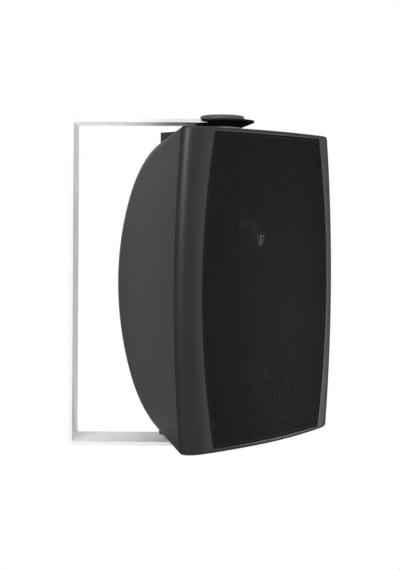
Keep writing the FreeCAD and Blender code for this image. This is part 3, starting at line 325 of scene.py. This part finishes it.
FLOAT, COLOUR, VECTOR = "NodeSocketFloat", "NodeSocketColor", "NodeSocketVector"
EFFECT_INPUTS = {
    "Vector": (VECTOR, (0, 0, 0)),
    "Colour": (COLOUR, (0.1, 0.1, 0.1, 1)),
    "Fine Scale": (FLOAT, 1500.0),
    "Colour Spread": (FLOAT, 0.1),
    "Roughness": (FLOAT, 0.5),
    "Roughness Spread": (FLOAT, 0.05),
}
EFFECT_OUTPUTS = {"Colour": COLOUR, "Roughness": FLOAT, "Height": FLOAT}


def open_group(name):
    """A new effect with its named sockets: the tree, what it is given and the node for its results."""
    tree = bpy.data.node_groups.new(name, "ShaderNodeTree")
    for label, (kind, value) in EFFECT_INPUTS.items():
        socket = tree.interface.new_socket(label, in_out="INPUT", socket_type=kind)
        socket.default_value = value
    for label, kind in EFFECT_OUTPUTS.items():
        tree.interface.new_socket(label, in_out="OUTPUT", socket_type=kind)
    given = tree.nodes.new("NodeGroupInput").outputs
    result = tree.nodes.new("NodeGroupOutput").inputs
    return tree, given, result


def close_group(tree, given, result, tone, gloss, height):
    """Colour times (1 + spread times tone), roughness plus spread times gloss, and the height as it is."""
    factor = math_node(tree, "ADD", math_node(tree, "MULTIPLY", tone, given["Colour Spread"]), 1.0)
    drift = math_node(tree, "MULTIPLY", gloss, given["Roughness Spread"])
    tree.links.new(tinted(tree, given["Colour"], factor), result["Colour"])
    tree.links.new(math_node(tree, "ADD", given["Roughness"], drift), result["Roughness"])
    tree.links.new(height, result["Height"])
    return tree


print("sockets of an effect:", ", ".join(EFFECT_INPUTS))

# %% The three effects
SLOW_SCALE = 14.0           # the tone drifts over about 70 mm
SLOW_DETAIL = 3.0
FINE_DETAIL = 2.0
LINE_DETAIL = 3.0
LINE_SQUEEZE = (1.0, 1.0, 0.04)     # the noise is drawn out along z by the inverse of the last number
NOISE_MIDDLE = 0.5          # about the average of the noise
THREAD_MIDDLE = 0.4         # about the average of two sine ridges multiplied


def grain_group():
    """Moulded or painted: slow and fine noise set the tone, the slow the gloss and the fine the height."""
    tree, given, result = open_group("moulded_grain")
    slow_noise = noise_node(tree, given["Vector"], SLOW_SCALE, SLOW_DETAIL)
    fine_noise = noise_node(tree, given["Vector"], given["Fine Scale"], FINE_DETAIL)
    slow = math_node(tree, "SUBTRACT", slow_noise, NOISE_MIDDLE)
    fine = math_node(tree, "SUBTRACT", fine_noise, NOISE_MIDDLE)
    return close_group(tree, given, result, math_node(tree, "ADD", slow, fine), slow, fine_noise)


def streak_group():
    """Turned or drawn metal: noise squeezed along one axis, so that it runs in fine lines."""
    tree, given, result = open_group("drawn_streaks")
    squeeze = tree.nodes.new("ShaderNodeVectorMath")
    squeeze.operation = "MULTIPLY"
    squeeze.inputs[1].default_value = LINE_SQUEEZE
    tree.links.new(given["Vector"], squeeze.inputs[0])
    lines = noise_node(tree, squeeze.outputs[0], given["Fine Scale"], LINE_DETAIL)
    centred = math_node(tree, "SUBTRACT", lines, NOISE_MIDDLE)
    return close_group(tree, given, result, centred, centred, lines)


def weave_group():
    """Cloth: two sets of sine ridges at right angles, multiplied, as threads that cross."""
    tree, given, result = open_group("crossed_threads")
    split = tree.nodes.new("ShaderNodeSeparateXYZ")
    tree.links.new(given["Vector"], split.inputs[0])
    level = math_node(tree, "ADD", split.outputs[0], split.outputs[1])
    ridges = []
    for part in (level, split.outputs[2]):
        turn = math_node(tree, "MULTIPLY", part, given["Fine Scale"])
        ridges.append(math_node(tree, "ABSOLUTE", math_node(tree, "SINE", turn, 0.0), 0.0))
    threads = math_node(tree, "MULTIPLY", ridges[0], ridges[1])
    centred = math_node(tree, "SUBTRACT", threads, THREAD_MIDDLE)
    return close_group(tree, given, result, centred, centred, threads)


EFFECTS = {"grain": grain_group(), "streaks": streak_group(), "weave": weave_group()}
print("effects:", ", ".join(EFFECTS))

# %% [markdown]
# ## Finishes: one material for each slot
# Each row below is one finish of the real object: the effect that it uses, its colour, how fine its
# texture is, how far the tone drifts, how rough it is, how far that drifts and how deep the texture
# stands. Values that are the same all over a surface, such as metallic or specular level, sit on the
# shader itself, in the second table.

# %% The finishes
FINISHES = {
    # slot: effect, colour, fine scale, colour spread, roughness, roughness spread, bump in mm
    "white_powder_coat": ("grain", (0.95, 0.95, 0.945), 900, 0.03, 0.42, 0.10, 0.03),
    "black_pad": ("grain", (0.004, 0.004, 0.0042), 1600, 0.20, 0.70, 0.10, 0.02),
    "dark_knob": ("grain", (0.088, 0.088, 0.090), 1800, 0.16, 0.45, 0.12, 0.02),
    "zinc_steel": ("streaks", (0.56, 0.56, 0.58), 1500, 0.18, 0.32, 0.16, 0.01),
    "pale_nylon": ("grain", (0.70, 0.69, 0.66), 700, 0.08, 0.48, 0.10, 0.01),
    "brass_insert": ("streaks", (0.70, 0.50, 0.22), 1500, 0.18, 0.30, 0.14, 0.01),
    "charcoal_moulding": ("grain", (0.026, 0.0252, 0.026), 1400, 0.14, 0.42, 0.08, 0.03),
    "black_grille": ("grain", (0.018, 0.018, 0.0184), 1200, 0.16, 0.46, 0.10, 0.02),
    "black_screw": ("streaks", (0.006, 0.006, 0.0062), 1800, 0.20, 0.65, 0.14, 0.01),
    "black_chassis": ("grain", (0.005, 0.005, 0.0052), 900, 0.15, 0.85, 0.12, 0.02),
    "surround_rubber": ("grain", (0.005, 0.005, 0.005), 1100, 0.22, 0.85, 0.12, 0.02),
    "gasket_foam": ("grain", (0.005, 0.005, 0.005), 500, 0.50, 0.90, 0.10, 0.08),
    "spider_cloth": ("weave", (0.50, 0.36, 0.16), 2400, 0.35, 0.80, 0.15, 0.05),
    "cone_moulding": ("grain", (0.005, 0.005, 0.0054), 900, 0.30, 0.75, 0.12, 0.02),
    "gloss_cap": ("grain", (0.012, 0.012, 0.013), 400, 0.10, 0.22, 0.06, 0.004),
    "coil_former": ("streaks", (0.68, 0.40, 0.20), 3000, 0.30, 0.35, 0.15, 0.02),
    "ferrite": ("grain", (0.055, 0.055, 0.060), 800, 0.35, 0.70, 0.15, 0.03),
    "faceplate_moulding": ("grain", (0.005, 0.005, 0.0052), 1500, 0.16, 0.85, 0.10, 0.02),
    "dome_cloth": ("weave", (0.016, 0.016, 0.020), 4200, 0.40, 0.38, 0.12, 0.02),
    "cup_moulding": ("grain", (0.026, 0.026, 0.027), 1500, 0.16, 0.50, 0.10, 0.03),
    "black_lever": ("grain", (0.022, 0.022, 0.022), 1300, 0.15, 0.36, 0.10, 0.01),
    "red_lever": ("grain", (0.42, 0.016, 0.014), 1300, 0.12, 0.36, 0.10, 0.01),
    "spring_brass": ("streaks", (0.70, 0.60, 0.42), 1700, 0.16, 0.30, 0.14, 0.01),
    "board_laminate": ("weave", (0.40, 0.28, 0.12), 1800, 0.20, 0.50, 0.10, 0.02),
    "copper_winding": ("streaks", (0.70, 0.32, 0.14), 2600, 0.35, 0.30, 0.14, 0.05),
    "resistor_body": ("grain", (0.70, 0.69, 0.65), 600, 0.12, 0.75, 0.10, 0.03),
    "capacitor_sleeve": ("grain", (0.020, 0.028, 0.075), 700, 0.10, 0.34, 0.10, 0.01),
}
SHADER_VALUES = {
    "black_pad": {"Specular IOR Level": 0.25},
    "zinc_steel": {"Metallic": 1.0},
    "brass_insert": {"Metallic": 1.0},
    "black_grille": {"Specular IOR Level": 0.04},
    "black_screw": {"Specular IOR Level": 0.2},
    "black_chassis": {"Specular IOR Level": 0.35},
    "surround_rubber": {"Specular IOR Level": 0.35},
    "gasket_foam": {"Specular IOR Level": 0.15},
    "cone_moulding": {"Specular IOR Level": 0.3},
    "gloss_cap": {"Specular IOR Level": 1.0, "Coat Weight": 1.0, "Coat Roughness": 0.20, "Coat IOR": 2.0},
    "coil_former": {"Metallic": 1.0},
    "faceplate_moulding": {"Specular IOR Level": 0.35},
    "dome_cloth": {"Coat Weight": 0.3},
    "spring_brass": {"Metallic": 1.0},
    "copper_winding": {"Metallic": 1.0},
}


def finish(slot):
    """A material: Object coordinates into the slot's effect, which feeds colour, roughness and a bump."""
    effect, colour, fine_scale, colour_spread, roughness, roughness_spread, bump = FINISHES[slot]
    material = bpy.data.materials.new(slot)
    material.use_nodes = True
    tree = material.node_tree
    shader = tree.nodes["Principled BSDF"]
    place = tree.nodes.new("ShaderNodeTexCoord")
    layer = tree.nodes.new("ShaderNodeGroup")
    layer.node_tree = EFFECTS[effect]
    layer.inputs["Colour"].default_value = (*colour, 1)
    layer.inputs["Fine Scale"].default_value = fine_scale
    layer.inputs["Colour Spread"].default_value = colour_spread
    layer.inputs["Roughness"].default_value = roughness
    layer.inputs["Roughness Spread"].default_value = roughness_spread
    relief = tree.nodes.new("ShaderNodeBump")
    relief.inputs["Strength"].default_value = 1.0
    relief.inputs["Distance"].default_value = bump * MM
    tree.links.new(place.outputs["Object"], layer.inputs["Vector"])
    tree.links.new(layer.outputs["Colour"], shader.inputs["Base Color"])
    tree.links.new(layer.outputs["Roughness"], shader.inputs["Roughness"])
    tree.links.new(layer.outputs["Height"], relief.inputs["Height"])
    tree.links.new(relief.outputs["Normal"], shader.inputs["Normal"])
    for label, value in SHADER_VALUES.get(slot, {}).items():
        shader.inputs[label].default_value = value
    return material


materials = {slot: finish(slot) for slot in FINISHES}
print("materials:", len(materials))

# %% [markdown]
# ## Matt black paint and painted shade behind the grille
# The frame and the baffle are one moulding. The baffle's face behind the grille is made near black and matt:
# partly a matt black paint such as a maker sprays there, partly painted shade for the recess that the
# grille shades, so that only the grille is seen. Two materials on one mesh would need faces marked by hand.
# A mask does it in one material: the point is turned into the cabinet's own frame, and the near-black
# paint lies where it is behind the front and inside the grille's outline.

# %% The recess: matt black paint and painted shade
# near-black matt paint on the baffle, which is also painted shade for the recess behind the grille
PAINT_AND_SHADE_DEPTH = 4.0           # the paint starts this far behind the front apex
PAINT_AND_SHADE_END = 28.0            # and ends here, behind the baffle
PAINT_AND_SHADE_EDGE = 1.0            # width of its soft edge
PAINT_AND_SHADE_COLOUR = (0.005, 0.005, 0.005, 1)
PAINT_ROUGHNESS = 0.95


def cabinet_place(tree):
    """Sockets for x, depth and z in the cabinet's frame, in metres: Object coordinates, turned and moved."""
    turn = -math.atan2(across_axis[1], across_axis[0])
    pan_x = math.cos(turn) * pan_axis[0] - math.sin(turn) * pan_axis[1]
    pan_y = math.sin(turn) * pan_axis[0] + math.cos(turn) * pan_axis[1]
    local = tree.nodes.new("ShaderNodeMapping")
    local.inputs["Rotation"].default_value = (0.0, 0.0, turn)
    local.inputs["Location"].default_value = (-pan_x, PIVOT_DEPTH * MM - pan_y, BOSS_RISE / 2 * MM)
    split = tree.nodes.new("ShaderNodeSeparateXYZ")
    tree.links.new(tree.nodes["Texture Coordinate"].outputs["Object"], local.inputs["Vector"])
    tree.links.new(local.outputs[0], split.inputs[0])
    return split.outputs


def below(tree, value, limit):
    """One where the value is below the limit, falling to nought over the soft edge of the paint and painted shade.
    """
    room = math_node(tree, "SUBTRACT", limit, value)
    share = math_node(tree, "DIVIDE", room, PAINT_AND_SHADE_EDGE * MM)
    share.node.use_clamp = True
    return share


def recess_paint_and_shade_mask(tree):
    """Between the two depths of the paint and painted shade, times inside the grille's bellied sides and its ends.
    """
    x, depth, z = cabinet_place(tree)
    across = math_node(tree, "ABSOLUTE", x, 0.0)
    height = math_node(tree, "ABSOLUTE", z, 0.0)
    squared = math_node(tree, "MULTIPLY", height, height)
    sag = math_node(tree, "MULTIPLY", squared, 1 / (2 * grille_arc * MM))
    half_width = math_node(tree, "SUBTRACT", (GRILLE_HALF_WIDTH + PAINT_AND_SHADE_EDGE) * MM, sag)
    mask = below(tree, math_node(tree, "MULTIPLY", depth, -1.0), -PAINT_AND_SHADE_DEPTH * MM)
    for value, limit in ((depth, PAINT_AND_SHADE_END * MM), (across, half_width),
                         (height, (grille_half_height + PAINT_AND_SHADE_EDGE) * MM)):
        mask = math_node(tree, "MULTIPLY", mask, below(tree, value, limit))
    return mask


def paint_and_shade_recess(material):
    """Mixes the near-black colour, which is paint and painted shade, and the paint's roughness over the material's
    own.
    """
    tree = material.node_tree
    shader = tree.nodes["Principled BSDF"]
    mask = recess_paint_and_shade_mask(tree)
    for label, kind, paint in (("Base Color", "RGBA", PAINT_AND_SHADE_COLOUR), ("Roughness", "FLOAT", PAINT_ROUGHNESS)):
        mix = tree.nodes.new("ShaderNodeMix")
        mix.data_type = kind
        factor, bare, painted = [socket for socket in mix.inputs if socket.enabled]
        result = next(socket for socket in mix.outputs if socket.enabled)
        painted.default_value = paint
        tree.links.new(mask, factor)
        tree.links.new(shader.inputs[label].links[0].from_socket, bare)
        tree.links.new(result, shader.inputs[label])


# the baffle's face behind the grille goes near black: matt paint, and painted shade for the recess
paint_and_shade_recess(materials["charcoal_moulding"])
print("painted from", PAINT_AND_SHADE_DEPTH, "to", PAINT_AND_SHADE_END, "mm behind the front")

# %% [markdown]
# ## Dressing the pieces
# The record of the model says which slot each node takes its finish from, so one loop dresses them all.
# The grille's new pieces take the slot of the node that they stand for.

# %% Dress the nodes and the grille
slot_of = {row["node"]: row["material_slot"] for row in frame["record"]["subparts"]}
for name, node in frame["nodes"].items():
    node.data.materials.clear()
    node.data.materials.append(materials[slot_of[name]])
for piece in grille_pieces:
    piece.data.materials.append(materials["black_grille"])
print("dressed:", len(slot_of), "nodes and", len(grille_pieces), "new pieces")

# %% [markdown]
# ## The stage
# The photograph has a white ground with no horizon. A floor and a back wall that are full white to the
# camera give that, while the lamps stay at a plain level: a colour then renders about as it is written.
# Reflections see the same paper, but dimmer, so that dark gloss stays dark.

# %% The floor and the back wall
FLOOR_LEVEL = -1.8          # metres, as all places on the stage
STAGE_REACH = 3.0           # the sheets run this far to each side, and the wall this far up
WALL_PLACE = 1.6            # the back wall's place along +X, behind the object
PAPER_COLOUR = (0.8, 0.8, 0.8, 1)
MIRRORED_WHITE = 0.22       # how bright the paper looks in a reflection


def stage_sheet(name, corners, material):
    """One flat quad of the stage, from its four corners."""
    mesh = bpy.data.meshes.new(name)
    mesh.from_pydata(corners, [], [(0, 1, 2, 3)])
    mesh.materials.append(material)
    sheet = bpy.data.objects.new(name, mesh)
    bpy.context.scene.collection.objects.link(sheet)
    print(name, "on the stage")


def studio_white():
    """White paper: full white to the camera, dim in reflections, plain matt to the light that bounces."""
    material = bpy.data.materials.new("studio_white")
    material.use_nodes = True
    tree = material.node_tree
    tree.nodes.clear()
    path = tree.nodes.new("ShaderNodeLightPath").outputs
    mirrored = math_node(tree, "MAXIMUM", path["Is Glossy Ray"], path["Is Transmission Ray"])
    seen = math_node(tree, "MAXIMUM", path["Is Camera Ray"], mirrored)
    brightness = math_node(tree, "MAXIMUM", path["Is Camera Ray"], MIRRORED_WHITE)
    paper = tree.nodes.new("ShaderNodeBsdfDiffuse")
    paper.inputs["Color"].default_value = PAPER_COLOUR
    white = tree.nodes.new("ShaderNodeEmission")
    mix = tree.nodes.new("ShaderNodeMixShader")
    output = tree.nodes.new("ShaderNodeOutputMaterial")
    tree.links.new(brightness, white.inputs["Strength"])
    tree.links.new(seen, mix.inputs[0])
    tree.links.new(paper.outputs[0], mix.inputs[1])
    tree.links.new(white.outputs[0], mix.inputs[2])
    tree.links.new(mix.outputs[0], output.inputs["Surface"])
    return material


paper_white = studio_white()
near, far, low, high = -STAGE_REACH, WALL_PLACE, FLOOR_LEVEL, STAGE_REACH
left, right = STAGE_REACH, -STAGE_REACH
floor_corners = [(near, right, low), (far, right, low), (far, left, low), (near, left, low)]
wall_corners = [(far, right, low), (far, right, high), (far, left, high), (far, left, low)]
stage_sheet("floor", floor_corners, paper_white)
stage_sheet("back_wall", wall_corners, paper_white)

# %% [markdown]
# ## The lamps and the world
# A studio lights a dark, glossy thing with several soft boxes, each for one face or one highlight, rather
# than with one strong lamp. Each row below is one box, at the same distance all round. A box that only
# has to lift a matt face leaves no reflection, and one that is there for the gloss alone lights no matt
# face: both are a tick in the lamp's ray visibility. The world adds a little light from everywhere.

# %% The soft boxes
LAMP_DISTANCE = 1.6         # metres from the object's middle
LAMPS = {
    # name: azimuth from +X towards +Y and rise, in degrees, width and height in metres, power in watts
    "key_box": (150, 26, 0.7, 0.7, 14),
    "fill_box": (-105, 52, 1.8, 1.8, 5),
    "top_box": (180, 80, 1.0, 1.0, 2),
    "front_box": (180, 45, 1.0, 1.0, 3),
    "under_box": (170, -55, 1.0, 1.0, 12),
    "plate_box": (-140, 12, 1.0, 1.0, 5),
    "back_high_box": (-24, 42, 0.8, 0.8, 11),
    "back_low_box": (-24, -42, 0.8, 0.8, 16),
    "side_box": (47, 5, 1.0, 1.0, 0.4),
    "rim_box": (25, 10, 0.6, 0.6, 1.1),
    "lip_box": (-114, 8, 0.5, 0.9, 0.8),
    "cap_box": (-86, -8, 0.65, 0.65, 10.0),
    "right_box": (-66, 0, 0.5, 1.2, 0.6),
}
MATT_ONLY = ("under_box", "plate_box", "back_high_box", "back_low_box")
GLOSS_ONLY = ("cap_box",)   # the dust cap's highlight; the grille and the frame's right strip catch it too
middle = np.array([0.0, pan_axis[1], 0.0])


def around(azimuth, rise):
    """The place at the lamps' distance from the object's middle, by its azimuth and rise."""
    turn, lift = math.radians(azimuth), math.radians(rise)
    level = math.cos(lift)
    return middle + LAMP_DISTANCE * np.array([level * math.cos(turn), level * math.sin(turn), math.sin(lift)])


def soft_box(name, azimuth, rise, width, height, power):
    """An area lamp that faces the object's middle."""
    lamp = bpy.data.lights.new(name, "AREA")
    lamp.shape = "RECTANGLE"
    lamp.size = width
    lamp.size_y = height
    lamp.energy = power
    holder = bpy.data.objects.new(name, lamp)
    bpy.context.scene.collection.objects.link(holder)
    place = around(azimuth, rise)
    holder.location = place
    holder.rotation_euler = (Vector(middle) - Vector(place)).to_track_quat("-Z", "Y").to_euler()
    holder.visible_camera = False
    holder.visible_glossy = name not in MATT_ONLY
    holder.visible_diffuse = name not in GLOSS_ONLY


for name, values in LAMPS.items():
    soft_box(name, *values)
print("soft boxes:", len(LAMPS))

# %% The world
AMBIENT = 0.09              # light from everywhere; the camera sees full white
world = bpy.data.worlds.new("studio")
bpy.context.scene.world = world
world.use_nodes = True
world_tree = world.node_tree
sky = world_tree.nodes["Background"]
camera_ray = world_tree.nodes.new("ShaderNodeLightPath").outputs["Is Camera Ray"]
to_white = math_node(world_tree, "MULTIPLY", camera_ray, 1 - AMBIENT)
world_tree.links.new(math_node(world_tree, "ADD", to_white, AMBIENT), sky.inputs["Strength"])
sky.inputs["Color"].default_value = (1, 1, 1, 1)
print("ambient light:", AMBIENT)

# %% [markdown]
# ## The camera
# Upright lines stay upright in the photograph, so the camera looks level, along +X, and its lens is
# shifted to frame the object. Its place and focal length were fitted to a few points of the object that
# are easy to find in the picture.

# %% Set the camera
CAMERA_PLACE = (-0.8911, -0.1073, 0.0600)
CAMERA_ROLL = -0.006        # radians; the cabinet leans by this much in the photograph
FOCAL_PIXELS = 1059.0       # focal length, in the photograph's pixels
IMAGE_HEIGHT = 570.0        # pixels
HORIZON_PIXEL = 209.4       # row of the photograph at the camera's own height
SENSOR = 36.0               # millimetres, along the picture's longer side
lens = bpy.data.cameras.new("camera")
lens.sensor_width = SENSOR
lens.lens = FOCAL_PIXELS * SENSOR / IMAGE_HEIGHT
lens.shift_y = (HORIZON_PIXEL - IMAGE_HEIGHT / 2) / IMAGE_HEIGHT
camera = bpy.data.objects.new("camera", lens)
bpy.context.scene.collection.objects.link(camera)
camera.location = CAMERA_PLACE
camera.rotation_euler = (math.pi / 2, CAMERA_ROLL, -math.pi / 2)
bpy.context.scene.camera = camera
bpy.context.scene.view_settings.view_transform = "Standard"
print("lens:", round(lens.lens, 2), "mm, shift:", round(lens.shift_y, 4))
